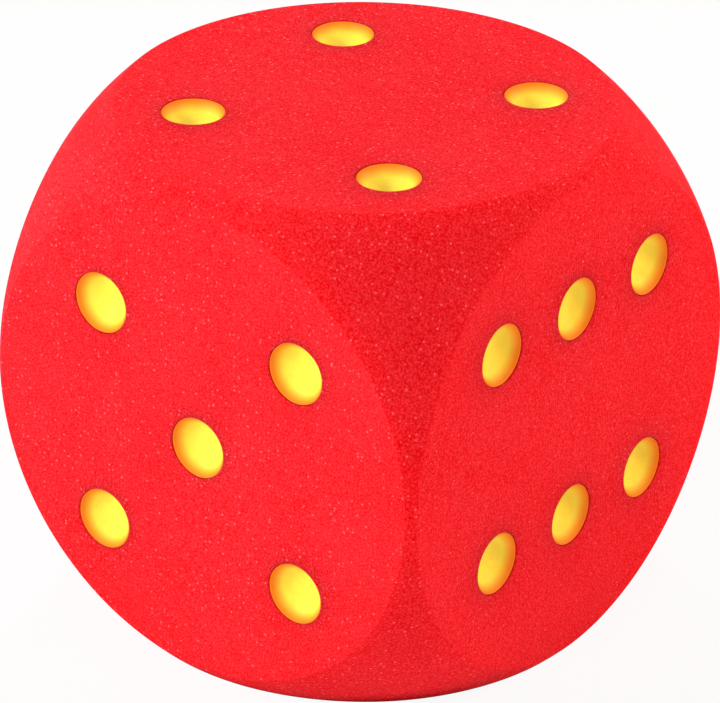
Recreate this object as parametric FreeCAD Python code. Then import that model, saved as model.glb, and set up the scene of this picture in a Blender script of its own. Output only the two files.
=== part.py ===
# Giant foam yard die: a soft block with a dished foam pip seated in each of its blind pockets.
# Lengths in millimetres. Origin in the middle of the bottom flat, +Z up.
# +X points out of the six, -Y out of the five.
import FreeCAD, Part
import math
import os

from FreeCAD import Placement, Rotation, Vector

# The block: nearly a cube, with its edges and corners cut down by a ball about its centre
across_flats = 300.0       # from the five to the two
width_cut = 5.0            # how much less it is from the six to the one
extra_height = 4.0         # how much more it is from the three to the four
edge_relief = 3.4          # how far below the nearest edges the ball cuts
rim_softening = 2.0        # rounding where a flat meets the ball

# The pips: round plugs with a dish in their outer face
pip_diameter = 36.0
pip_length = 20.0          # from the lip to the back of the plug
dish_depth = 10.0          # from the lip to the lowest point of the dish
lip_width = 0.8            # flat ring left round the dish
pip_setback = 0.8          # how far the lip lies below the flat

# The pockets that the pips sit in
pocket_clearance = 0.15    # gap all round a plug's side; its back rests on the pocket's floor

# The patterns, measured from the middle of a flat
pip_pitch = 68.0           # to the corner pips, both ways
six_pitch = 70.0           # along a row of three on the six
six_row_offset = 64.5      # to each row of three on the six
five_drop = 3.0            # how far the whole five sits below the middle of its flat
six_rise = 5.0             # how far the whole six sits above the middle of its flat

block_size = Vector(across_flats - width_cut, across_flats, across_flats + extra_height)
block_centre = Vector(0, 0, block_size.z / 2)
pip_radius = pip_diameter / 2
pocket_depth = pip_setback + pip_length


def diagonal(pitch):
    """Two places on one diagonal of a flat."""
    return [(-pitch, pitch), (pitch, -pitch)]


def corners(pitch):
    """The four corner places of a flat."""
    return [(x, y) for y in (-pitch, pitch) for x in (-pitch, pitch)]


def rows_of_three(pitch, offset):
    """Two rows of three places, one each side of the middle."""
    return [(x, y) for y in (-offset, offset) for x in (-pitch, 0, pitch)]


def shifted(places, rise):
    """The places of a pattern, all moved up the flat."""
    return [(x, y + rise) for x, y in places]


middle = [(0, 0)]

# Each flat: its outward direction, the direction its rows run in, and the places of its pips.
# Opposite flats add up to seven, and one, two and three turn anticlockwise about their corner.
flats = {
    "one": (Vector(-1, 0, 0), Vector(0, 1, 0), middle),
    "two": (Vector(0, 1, 0), Vector(1, 0, 0), diagonal(pip_pitch)),
    "three": (Vector(0, 0, -1), Vector(1, 0, 0), diagonal(pip_pitch) + middle),
    "four": (Vector(0, 0, 1), Vector(1, 0, 0), corners(pip_pitch)),
    "five": (Vector(0, -1, 0), Vector(1, 0, 0), shifted(corners(pip_pitch) + middle, -five_drop)),
    "six": (Vector(1, 0, 0), Vector(0, 1, 0), shifted(rows_of_three(six_pitch, six_row_offset), six_rise)),
}


def on_flat(outward, along, x, y):
    """Placement at a place on a flat, with local +Z out of the flat and local +X along its rows."""
    turn = Rotation(along, outward.cross(along), outward, "ZXY")
    middle_of_flat = block_centre + outward * (abs(outward.dot(block_size)) / 2)
    return Placement(middle_of_flat + turn.multVec(Vector(x, y, 0)), turn)


def ball_radius():
    """Reaches to just below the nearest edges of the box, so that each flat ends in a whole circle."""
    half_sizes = sorted(size / 2 for size in block_size)
    return math.hypot(half_sizes[0], half_sizes[1]) - edge_relief


def rough_block():
    """The box cut down by the ball, with the rims of its six flats softened."""
    box = Part.makeBox(*block_size, Vector(-block_size.x / 2, -block_size.y / 2, 0))
    block = box.common(Part.makeSphere(ball_radius(), block_centre))
    rims = [edge for edge in block.Edges if isinstance(edge.Curve, Part.Circle)]
    return block.makeFillet(rim_softening, rims)


def pocket_tool():
    """What is cut out of a flat for one pip, from just above the flat to the pocket's floor."""
    overshoot = 1.0
    radius = pip_radius + pocket_clearance
    return Part.makeCylinder(radius, pocket_depth + overshoot, Vector(0, 0, -pocket_depth))


def dished_plug():
    """One pip about local Z, its back on the pocket's floor and a ball-shaped dish in its outer end."""
    back = -pocket_depth
    lip = -pip_setback
    mouth = pip_radius - lip_width
    dish_radius = (mouth ** 2 + dish_depth ** 2) / (2 * dish_depth)
    half_angle = math.asin(mouth / dish_radius) / 2
    dish_centre = lip - dish_depth + dish_radius
    below_centre = dish_radius * math.cos(half_angle)
    on_dish = Vector(dish_radius * math.sin(half_angle), 0, dish_centre - below_centre)
    lowest = Vector(0, 0, lip - dish_depth)
    outline = [
        Part.LineSegment(lowest, Vector(0, 0, back)),
        Part.LineSegment(Vector(0, 0, back), Vector(pip_radius, 0, back)),
        Part.LineSegment(Vector(pip_radius, 0, back), Vector(pip_radius, 0, lip)),
        Part.LineSegment(Vector(pip_radius, 0, lip), Vector(mouth, 0, lip)),
        Part.Arc(Vector(mouth, 0, lip), on_dish, lowest),
    ]
    section = Part.Face(Part.Wire([side.toShape() for side in outline]))
    return section.revolve(Vector(0, 0, 0), Vector(0, 0, 1), 360)


def node_names(flat, places):
    """A pip's name, numbered where its flat has more than one."""
    if len(places) == 1:
        return ["pip_" + flat]
    return ["pip_%s_%d" % (flat, number) for number in range(1, len(places) + 1)]


def placed(shape, placement):
    copy = shape.copy()
    copy.Placement = placement
    return copy


def build():
    tool = pocket_tool()
    plug = dished_plug()
    pockets = []
    nodes = {}
    for flat, (outward, along, places) in flats.items():
        for name, (x, y) in zip(node_names(flat, places), places):
            place = on_flat(outward, along, x, y)
            pockets.append(placed(tool, place))
            nodes[name] = placed(plug, place)
    nodes["foam_body"] = rough_block().cut(pockets)
    return nodes


os.makedirs("parts", exist_ok=True)
for node, shape in build().items():
    shape.exportStep("parts/%s.step" % node)
    print(node, "solids", len(shape.Solids), "valid", shape.isValid(), "cm3 %.2f" % (shape.Volume / 1000))
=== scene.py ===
import math

import bmesh
import bpy
from mathutils import Matrix, Vector, noise


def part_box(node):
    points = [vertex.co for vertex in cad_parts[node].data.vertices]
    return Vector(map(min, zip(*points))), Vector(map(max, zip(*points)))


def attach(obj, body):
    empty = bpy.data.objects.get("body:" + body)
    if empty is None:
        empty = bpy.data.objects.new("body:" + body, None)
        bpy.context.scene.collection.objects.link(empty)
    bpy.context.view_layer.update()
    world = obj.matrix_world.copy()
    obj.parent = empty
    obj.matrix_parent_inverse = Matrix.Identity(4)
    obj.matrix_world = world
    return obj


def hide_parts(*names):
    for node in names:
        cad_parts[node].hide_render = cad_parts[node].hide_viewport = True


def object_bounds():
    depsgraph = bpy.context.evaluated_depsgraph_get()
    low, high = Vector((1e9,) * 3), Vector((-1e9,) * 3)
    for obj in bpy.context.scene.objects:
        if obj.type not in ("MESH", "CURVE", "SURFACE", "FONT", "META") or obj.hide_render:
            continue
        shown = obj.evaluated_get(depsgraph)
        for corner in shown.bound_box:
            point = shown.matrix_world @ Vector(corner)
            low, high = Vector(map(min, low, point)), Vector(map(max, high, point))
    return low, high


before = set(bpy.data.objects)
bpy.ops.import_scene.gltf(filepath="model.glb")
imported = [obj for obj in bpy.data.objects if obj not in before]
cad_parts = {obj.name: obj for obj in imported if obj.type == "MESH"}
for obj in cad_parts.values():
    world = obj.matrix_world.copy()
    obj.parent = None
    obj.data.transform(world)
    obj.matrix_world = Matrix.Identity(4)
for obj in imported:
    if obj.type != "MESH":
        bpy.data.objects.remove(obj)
millimetre = 0.001
wholeTurn = 2 * math.pi

cadLow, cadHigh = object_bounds()
bodyLow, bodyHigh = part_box("foam_body")
dieCentre = (bodyLow + bodyHigh) / 2
dieSize = bodyHigh - bodyLow
ballRadius = max((vertex.co - dieCentre).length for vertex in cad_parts["foam_body"].data.vertices)
pipNodes = sorted(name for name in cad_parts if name.startswith("pip_"))
flatDirections = [Vector(way) for way in
                  ((1, 0, 0), (-1, 0, 0), (0, 1, 0), (0, -1, 0), (0, 0, 1), (0, 0, -1))]
print("frame read: die %.0f x %.0f x %.0f mm, ball radius %.1f mm, %d pips"
      % (*(dieSize / millimetre), ballRadius / millimetre, len(pipNodes)))


class Wire:  # one shader socket, with arithmetic
    def __init__(self, tree, socket=None):
        self.tree = tree
        self.socket = socket

    def node(self, kind, settings=None, sockets=None, out=0):  # any node: settings first, then its sockets
        made = self.tree.nodes.new(kind)
        for name, value in (settings or {}).items():
            setattr(made, name, value)
        for key, value in (sockets or {}).items():
            if isinstance(value, Wire):
                self.tree.links.new(value.socket, made.inputs[key])
            else:
                made.inputs[key].default_value = value
        return Wire(self.tree, made.outputs[out])

    def maths(self, operation, *values):
        return self.node("ShaderNodeMath", {"operation": operation}, dict(enumerate(values)))

    def __add__(self, other):
        return self.maths("ADD", self, other)

    def __sub__(self, other):
        return self.maths("SUBTRACT", self, other)

    def __rsub__(self, other):
        return self.maths("SUBTRACT", other, self)

    def __mul__(self, other):
        return self.maths("MULTIPLY", self, other)

    __radd__ = __add__
    __rmul__ = __mul__

    def between(self, low, high):  # 0 below low, 1 above high, smooth in between
        settings = {"interpolation_type": "SMOOTHSTEP"}
        return self.node("ShaderNodeMapRange", settings, {"Value": self, "From Min": low, "From Max": high})

    def tint(self, first, second):  # goes from the first colour to the second as this wire goes from 0 to 1
        return self.node("ShaderNodeMix", {"data_type": "RGBA"}, {0: self, 6: first, 7: second}, out=2)


def freshMaterial(name):
    material = bpy.data.materials.new(name)
    material.use_nodes = True
    shader = material.node_tree.nodes["Principled BSDF"]
    start = Wire(material.node_tree)
    place = start.node("ShaderNodeTexCoord", out="Object")  # in metres
    return material, shader, start, place


def finishShader(material, shader, wires, fixed):
    for name, wire in wires.items():
        material.node_tree.links.new(wire.socket, shader.inputs[name])
    for name, value in fixed.items():
        shader.inputs[name].default_value = value
    return material


def cloud(start, place, layer):  # soft noise from 0 to 1, with features about as wide as the layer says
    return start.node("ShaderNodeTexNoise", None,
                      {"Vector": place, "Scale": 1 / layer["width"], "Detail": layer["detail"]})


def toneOf(noises, layers):  # one tone from several noises, each with its own contrast and share
    return sum(wire.between(*layer["reach"]) * layer["share"] for wire, layer in zip(noises, layers))


def cells(start, place, width, out):  # the surface split into random cells about this wide
    return start.node("ShaderNodeTexVoronoi", None, {"Vector": place, "Scale": 1 / width}, out)


def bump(start, height, look):
    return start.node("ShaderNodeBump", None,
                      {"Strength": look["bumpStrength"], "Distance": look["bumpDepth"], "Height": height})


redFoamLook = {
    "deep": (0.77, 0.0015, 0.004, 1),
    "plain": (0.92, 0.040, 0.054, 1),
    # painted glint: the pinkish white that flecks turn to, standing in for light glinting off foam cells
    "paintedGlint": (1.0, 0.16, 0.19, 1),
    "paintedMouthShade": (0.45, 0.003, 0.003, 1),  # painted shade: dark red on each pocket's mouth, standing in for the shadow in the gap round a pip
    # What mixes deep and plain, from fine to broad: where each noise starts and is full, and its share
    "grain": {"width": 1.2 * millimetre, "detail": 2, "reach": (0.38, 0.66), "share": 0.75},
    "blotch": {"width": 4.5 * millimetre, "detail": 2, "reach": (0.35, 0.65), "share": 0.15},
    "patch": {"width": 50 * millimetre, "detail": 2, "reach": (0.3, 0.7), "share": 0.1},
    "fleckSpacing": 3.0 * millimetre,
    "fleckReach": (0.08, 0.30),          # a fleck's middle, where it is smoothest and its painted glint is full, and its edge, in spacings
    "fleckChance": (0.35, 0.95),         # cells below the first have none, above the second a full one
    "poreWidth": 1.9 * millimetre,
    "poreReach": (0.1, 0.7),             # a pore's bottom and its edge, in widths
    "poreHeight": 0.5,                   # how much the pores and the grain stand out, in bump depths
    "grainHeight": 0.9,
    "bumpDepth": 0.3 * millimetre,
    "bumpStrength": 0.5,
    "roughness": (0.66, 0.88),           # of a fleck and of the rest
    "sheen": 0.06,
    "spread": 0.9,                       # how much of the light spreads inside the foam
    "spreadReach": 30 * millimetre,
    "spreadColour": (1.0, 0.01, 0.01),   # nearly all of it is red
}


def redFoam():
    look = redFoamLook
    material, shader, start, place = freshMaterial("red_foam")
    layers = [look["grain"], look["blotch"], look["patch"]]
    noises = [cloud(start, place, layer) for layer in layers]
    grain = noises[0]
    fromSpot = cells(start, place, look["fleckSpacing"], "Distance")
    luck = start.node("ShaderNodeSeparateColor", None,
                      {"Color": cells(start, place, look["fleckSpacing"], "Color")})
    # cells with a fleck: smoother foam, tinted towards the painted glint
    glintFleck = luck.between(*look["fleckChance"]) * (1 - fromSpot.between(*look["fleckReach"]))
    # the marked pocket mouths take a dark red that is painted shade
    mouthShade = start.node("ShaderNodeAttribute", {"attribute_name": "paintedMouthShade"}, out="Fac")
    colour = glintFleck.tint(toneOf(noises, layers).tint(look["deep"], look["plain"]), look["paintedGlint"])
    pore = cells(start, place, look["poreWidth"], "Distance").between(*look["poreReach"])
    height = pore * look["poreHeight"] + grain * look["grainHeight"]
    low, high = look["roughness"]
    wires = {"Base Color": mouthShade.tint(colour, look["paintedMouthShade"]),
             "Roughness": (1 - glintFleck) * (high - low) + low,
             "Normal": bump(start, height, look)}
    fixed = {"Specular IOR Level": look["sheen"],
             "Subsurface Weight": look["spread"],
             "Subsurface Scale": look["spreadReach"],
             "Subsurface Radius": look["spreadColour"]}
    return finishShader(material, shader, wires, fixed)


yellowFoamLook = {
    "shade": (1.0, 0.80, 0.06, 1),
    "plain": (1.0, 0.92, 0.088, 1),
    "paintedRimShade": (1.0, 0.24, 0.010, 1),       # painted shade: a deep orange towards each dish's rim, standing in for the shade in the recess
    "paintedRimShadeReach": (0.68, 1.0),            # where that painted shade starts and is full, in pip radii
    "grain": {"width": 0.9 * millimetre, "detail": 3, "reach": (0.3, 0.7), "share": 0.4},
    "patch": {"width": 9 * millimetre, "detail": 2, "reach": (0.3, 0.7), "share": 0.6},
    "bumpDepth": 0.1 * millimetre,
    "bumpStrength": 0.3,
    "roughness": (0.5, 0.7),
    "sheen": 0.15,
}


def yellowFoam():
    look = yellowFoamLook
    material, shader, start, place = freshMaterial("yellow_foam")
    layers = [look["grain"], look["patch"]]
    noises = [cloud(start, place, layer) for layer in layers]
    grain, patch = noises
    paintedRimShade = start.node("ShaderNodeAttribute", {"attribute_name": "paintedShadeRadius"}, out="Fac")
    colour = toneOf(noises, layers).tint(look["shade"], look["plain"])
    low, high = look["roughness"]
    # towards each dish's rim the base colour turns to the painted rim shade
    wires = {"Base Color": paintedRimShade.between(*look["paintedRimShadeReach"]).tint(colour, look["paintedRimShade"]),
             "Roughness": patch * (high - low) + low,
             "Normal": bump(start, grain, look)}
    return finishShader(material, shader, wires, {"Specular IOR Level": look["sheen"]})


def standingOn(outward, point):  # local Z along outward, at a point given from the die's centre
    return Matrix.Translation(point) @ outward.to_track_quat("Z", "Y").to_matrix().to_4x4()


def reach(outward):  # from the die's centre to a flat
    return abs(outward.dot(dieSize)) / 2


def seatOfPip(node):  # a pip's middle from the die's centre, the way its dish faces, its radius and length
    low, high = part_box(node)
    size = high - low
    middle = (low + high) / 2 - dieCentre
    thin = min(range(3), key=lambda axis: size[axis])
    outward = Vector((0, 0, 0))
    outward[thin] = math.copysign(1, middle[thin])
    return middle, outward, max(size) / 2, min(size)


def toObject(bm, name, material):
    bmesh.ops.translate(bm, verts=bm.verts, vec=dieCentre)
    bmesh.ops.recalc_face_normals(bm, faces=bm.faces)
    for face in bm.faces:
        face.smooth = True
    mesh = bpy.data.meshes.new(name)
    bm.to_mesh(mesh)
    bm.free()
    mesh.materials.append(material)
    made = bpy.data.objects.new(name, mesh)
    bpy.context.scene.collection.objects.link(made)
    return made


def declareFoam(piece, node):
    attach(piece, "root")
    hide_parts(node)


foamBodyShape = {
    "ballDetail": 7,                     # icosphere subdivisions
    "rimMerge": 0.8 * millimetre,        # points closer than this on a cut rim become one
    "rimSoftening": 2.0 * millimetre,    # rounding where a flat meets the ball
    "rimSteps": 6,
    "rimMargin": 1.5 * millimetre,       # even band of flat left inside the rounding
    "mouthSegments": 144,
    "mouthTurn": 0.0137,                 # in radians, keeps a mouth's points off the lines between two pips
    "mouthSoftening": 0.7 * millimetre,  # rounding of a pocket's mouth
    "mouthSteps": 3,
    "mouthMargin": 1.2 * millimetre,     # even band of flat left round it
    "pocketClearance": 0.15 * millimetre,
    "raggedness": 0.22 * millimetre,     # how unevenly a pocket's mouth is cut
    "raggedWidth": 2.6 * millimetre,
    "weavePitch": 15 * millimetre,       # spacing of the points inside a flat
    "sag": 0.35 * millimetre,            # how far the surface dips here and there
    "sagWidth": 60 * millimetre,
}


def newRing(bm, edges, space, ratio, step):  # extrudes a loop, sizes it about its axis and moves it along
    made = bmesh.ops.extrude_edge_only(bm, edges=edges)["geom"]
    verts = [item for item in made if isinstance(item, bmesh.types.BMVert)]
    bmesh.ops.scale(bm, vec=(ratio, ratio, 1), space=space.inverted(), verts=verts)
    bmesh.ops.translate(bm, vec=space.to_3x3() @ Vector((0, 0, step)), verts=verts)
    return [item for item in made if isinstance(item, bmesh.types.BMEdge)]


def followRings(bm, edges, space, rings):  # rings are (radius, height) pairs, the first where the loop is now
    for (lastRadius, lastHeight), (radius, height) in zip(rings, rings[1:]):
        edges = newRing(bm, edges, space, radius / lastRadius, height - lastHeight)
    return edges


def rimRings(shape, flatHeight):  # from the ball over the rounding to just inside the flat
    soft = shape["rimSoftening"]
    axisHeight = flatHeight - soft
    axisRadius = math.sqrt((ballRadius - soft) ** 2 - axisHeight ** 2)
    start = math.atan2(axisHeight, axisRadius)
    rings = []
    for step in range(shape["rimSteps"] + 1):
        angle = start + (math.pi / 2 - start) * step / shape["rimSteps"]
        rings.append((axisRadius + soft * math.cos(angle), axisHeight + soft * math.sin(angle)))
    rings.append((axisRadius - shape["rimMargin"], flatHeight))
    return rings


def mouthRings(shape, radius, depth):  # from the flat over a pocket's mouth and down to its floor
    soft = shape["mouthSoftening"]
    rings = [(radius + soft + shape["mouthMargin"], 0)]
    for step in range(shape["mouthSteps"] + 1):
        angle = math.pi / 2 * step / shape["mouthSteps"]
        rings.append((radius + soft - soft * math.sin(angle), soft * math.cos(angle) - soft))
    rings.append((radius, -depth))
    return rings


def cutBall(bm, shape, rims):  # a ball cut off where the rounding of each flat begins
    bmesh.ops.create_icosphere(bm, subdivisions=shape["ballDetail"], radius=ballRadius)
    for outward, rim in zip(flatDirections, rims):
        everything = bm.verts[:] + bm.edges[:] + bm.faces[:]
        bmesh.ops.bisect_plane(bm, geom=everything, dist=0.001 * millimetre, plane_co=outward * rim[0][1],
                               plane_no=outward, clear_outer=True)
    openVerts = [vert for vert in bm.verts if vert.is_boundary]
    bmesh.ops.remove_doubles(bm, verts=openVerts, dist=shape["rimMerge"])


def loopAt(bm, outward, height):  # the open edges that lie at a height along a direction
    near = 0.1 * millimetre
    return [edge for edge in bm.edges
            if edge.is_boundary and all(abs(vert.co.dot(outward) - height) < near for vert in edge.verts)]


def mouthsOn(bm, shape, outward):  # a circle of edges for each pocket of a flat, with its place and its rings
    mouths = []
    for node in pipNodes:
        middle, facing, radius, length = seatOfPip(node)
        if facing != outward:
            continue
        floor = middle.dot(outward) - length / 2  # of the pocket, where the pip's back rests
        rings = mouthRings(shape, radius + shape["pocketClearance"], reach(outward) - floor)
        space = standingOn(outward, middle + outward * (reach(outward) - middle.dot(outward)))
        circle = bmesh.ops.create_circle(bm, segments=shape["mouthSegments"], radius=rings[0][0],
                                         matrix=space @ Matrix.Rotation(shape["mouthTurn"], 4, "Z"))["verts"]
        edges = list(dict.fromkeys(edge for vert in circle for edge in vert.link_edges))
        mouths.append((edges, space, rings))
    return mouths


def cutPocket(bm, shape, mouth, space, rings):
    lip = followRings(bm, mouth, space, rings[:-1])
    # the mouth's lip is marked for the red foam's painted shade
    paintedMouthShade = bm.verts.layers.float["paintedMouthShade"]
    for vert in {vert for edge in lip for vert in edge.verts}:
        push = noise.noise(vert.co / shape["raggedWidth"]) * shape["raggedness"]
        vert.co += (vert.co - space.translation).normalized() * push
        vert[paintedMouthShade] = 1
    foot = followRings(bm, lip, space, rings[-2:])
    bmesh.ops.edgeloop_fill(bm, edges=foot)


def weave(bm, faces, outward, pitch):  # gives a flat a grid of points
    count = int(ballRadius / pitch)
    edges = [edge for face in faces for edge in face.edges]
    verts = [vert for face in faces for vert in face.verts]
    parts = list(dict.fromkeys(faces + edges + verts))
    for across in (way for way in flatDirections[::2] if way.dot(outward) == 0):  # both ways along the flat
        for line in range(-count, count + 1):
            parts = bmesh.ops.bisect_plane(bm, geom=parts, dist=0.001 * millimetre,
                                           plane_co=across * (line + 0.5) * pitch, plane_no=across)["geom"]


def foamBody(material):
    shape = foamBodyShape
    bm = bmesh.new()
    bm.verts.layers.float.new("paintedMouthShade")
    rims = [rimRings(shape, reach(outward)) for outward in flatDirections]
    cutBall(bm, shape, rims)
    for outward, rim in zip(flatDirections, rims):
        upright = standingOn(outward, Vector((0, 0, 0)))
        outline = followRings(bm, loopAt(bm, outward, rim[0][1]), upright, rim)
        mouths = mouthsOn(bm, shape, outward)
        edges = outline + [edge for mouth, _, _ in mouths for edge in mouth]
        filled = bmesh.ops.triangle_fill(bm, use_beauty=True, use_dissolve=False, edges=edges, normal=outward)
        faces = [item for item in filled["geom"] if isinstance(item, bmesh.types.BMFace)]
        for mouth, space, rings in mouths:
            cutPocket(bm, shape, mouth, space, rings)
        weave(bm, faces, outward, shape["weavePitch"])
    for vert in bm.verts:
        dip = (noise.noise(vert.co / shape["sagWidth"]) - 1) / 2 * shape["sag"]
        vert.co += vert.co.normalized() * dip
    bmesh.ops.triangulate(bm, faces=bm.faces)
    return toObject(bm, "soft_foam_block", material)


pipShape = {
    "segments": 96,
    "backRing": 0.6,                     # where the back has its middle ring, in pip radii
    "dishSteps": 18,
    "dishDepth": 10 * millimetre,
    "lipWidth": 0.35 * millimetre,
    "lipRounding": 0.3 * millimetre,
    "unevenness": 0.12 * millimetre,     # the most that a point is pulled towards the pip's middle
    "unevenWidth": 7 * millimetre,
}


def pipOutline(radius, length, shape):  # from the middle of the back, up the side and into the dish
    lip = length / 2
    soft = shape["lipRounding"]
    halfway = 0.3 * soft  # how far the middle of the rounding lies from the side and the lip
    mouth = radius - shape["lipWidth"]
    depth = shape["dishDepth"]
    dishRadius = (mouth ** 2 + depth ** 2) / (2 * depth)
    wallAngle = math.asin(mouth / dishRadius)
    points = [(0, -lip), (radius * shape["backRing"], -lip), (radius - soft, -lip),
              (radius, soft - lip), (radius, 0), (radius, lip - soft),
              (radius - halfway, lip - halfway), (radius - soft, lip)]
    for step in range(shape["dishSteps"] + 1):
        angle = wallAngle * (1 - step / shape["dishSteps"])
        points.append((dishRadius * math.sin(angle), lip - depth + dishRadius * (1 - math.cos(angle))))
    return points


def pip(node, material):
    shape = pipShape
    middle, outward, radius, length = seatOfPip(node)
    bm = bmesh.new()
    paintedShadeRadius = bm.verts.layers.float.new("paintedShadeRadius")
    verts = [bm.verts.new((across, 0, height)) for across, height in pipOutline(radius, length, shape)]
    edges = [bm.edges.new(pair) for pair in zip(verts, verts[1:])]
    bmesh.ops.spin(bm, geom=verts + edges, cent=(0, 0, 0), axis=(0, 0, 1), angle=wholeTurn,
                   steps=shape["segments"], use_merge=True)
    bmesh.ops.remove_doubles(bm, verts=bm.verts, dist=0.01 * millimetre)
    # each point's distance from the pip's axis, in pip radii, which places the painted rim shade of the
    # yellow foam
    for vert in bm.verts:
        vert[paintedShadeRadius] = vert.co.xy.length / radius
    bmesh.ops.transform(bm, matrix=standingOn(outward, middle), verts=bm.verts)
    for vert in bm.verts:
        dip = (noise.noise(vert.co / shape["unevenWidth"]) - 1) / 2 * shape["unevenness"]
        vert.co += (vert.co - middle).normalized() * dip
    return toObject(bm, node.replace("pip_", "dished_pip_"), material)


stageLook = {
    "floorSize": 12,
    "floorColour": (0.93, 0.93, 0.93, 1),
    "floorGlow": 0.92,                   # how much of the floor's white doesn't depend on the lamps
    "mottle": {"width": 1 / 3, "detail": 2},
    "roughness": (0.8, 0.9),
    "sheen": 0.1,
    "roomColour": (1.0, 0.72, 0.72, 1),  # a warm room
    "roomLight": 0.25,
    "lampDistance": 2.3,                 # of each lamp from the die's centre
}


def stage():
    look = stageLook
    bpy.ops.mesh.primitive_plane_add(size=look["floorSize"], location=(0, 0, cadLow.z))
    floor = bpy.context.active_object
    floor.name = "pale_floor"
    material, shader, start, place = freshMaterial("pale_floor")
    low, high = look["roughness"]
    finishShader(material, shader, {"Roughness": cloud(start, place, look["mottle"]) * (high - low) + low},
                 {"Base Color": look["floorColour"], "Specular IOR Level": look["sheen"]})
    seen, shiny, clear = [start.node("ShaderNodeLightPath", out="Is %s Ray" % kind)
                          for kind in ("Camera", "Glossy", "Transmission")]
    glow = start.maths("MINIMUM", seen + shiny + clear, look["floorGlow"])
    lit = Wire(material.node_tree, shader.outputs["BSDF"])
    white = start.node("ShaderNodeEmission", None, {"Color": (1, 1, 1, 1), "Strength": 1})
    surface = start.node("ShaderNodeMixShader", None, {0: glow, 1: lit, 2: white})
    output = material.node_tree.nodes["Material Output"]
    material.node_tree.links.new(surface.socket, output.inputs["Surface"])
    floor.data.materials.append(material)
    world = bpy.data.worlds.new("plain_room")
    world.use_nodes = True
    bpy.context.scene.world = world
    back = world.node_tree.nodes["Background"]
    back.inputs["Color"].default_value = look["roomColour"]
    back.inputs["Strength"].default_value = look["roomLight"]


lamps = {  # the way each lamp hangs from the die's centre, its width, its power in watts and its colour
    "key_left": {"way": (-0.48, -0.74, 0.50), "width": 0.5, "power": 42, "colour": (1, 1, 1)},
    "side_right": {"way": (0.62, 0.56, 0.44), "width": 0.5, "power": 31, "colour": (1, 0.82, 0.74)},
    "top_back": {"way": (-0.35, 0.45, 0.8), "width": 0.5, "power": 13, "colour": (1, 1, 1)},
    "front_fill": {"way": (0.54, -0.71, 0.30), "width": 1.2, "power": 7, "colour": (1, 0.8, 0.8)},
}


def hangLamps():
    for name, lamp in lamps.items():
        light = bpy.data.lights.new(name, "AREA")
        light.shape = "DISK"
        light.size = lamp["width"]
        light.energy = lamp["power"]
        light.color = lamp["colour"]
        made = bpy.data.objects.new(name, light)
        way = Vector(lamp["way"]).normalized()
        made.location = dieCentre + way * stageLook["lampDistance"]
        made.rotation_euler = (-way).to_track_quat("-Z", "Y").to_euler()
        bpy.context.scene.collection.objects.link(made)


cameraAim = {
    "azimuth": 37.17, "elevation": 27.47, "roll": 0.56,  # degrees
    "distance": 2.8455, "slideRight": -0.0017, "slideUp": -0.0036,  # metres
    "lens": 249.8, "filmWidth": 36,  # millimetres
}


def aimCamera():
    aim = cameraAim
    turn = math.radians(aim["azimuth"])
    lift = math.radians(aim["elevation"])
    roll = math.radians(aim["roll"])
    back = Vector((math.sin(turn) * math.cos(lift), -math.cos(turn) * math.cos(lift), math.sin(lift)))
    level = Vector((math.cos(turn), math.sin(turn), 0))
    plumb = back.cross(level)
    right = level * math.cos(roll) + plumb * math.sin(roll)
    up = plumb * math.cos(roll) - level * math.sin(roll)
    data = bpy.data.cameras.new("camera")
    data.lens = aim["lens"]
    data.sensor_width = aim["filmWidth"]
    camera = bpy.data.objects.new("camera", data)
    spot = dieCentre + back * aim["distance"] + right * aim["slideRight"] + up * aim["slideUp"]
    camera.matrix_world = Matrix.Translation(spot) @ Matrix((right, up, back)).transposed().to_4x4()
    bpy.context.scene.collection.objects.link(camera)
    bpy.context.scene.camera = camera


aimCamera()
hangLamps()
stage()
print("camera, lamps and floor set")

red = redFoam()
yellow = yellowFoam()
print("materials made")

block = foamBody(red)
declareFoam(block, "foam_body")
print("foam body made, %d triangles" % len(block.data.polygons))

for node in pipNodes:
    declareFoam(pip(node, yellow), node)
print("%d pips made" % len(pipNodes))

bpy.context.scene.view_settings.view_transform = "Standard"
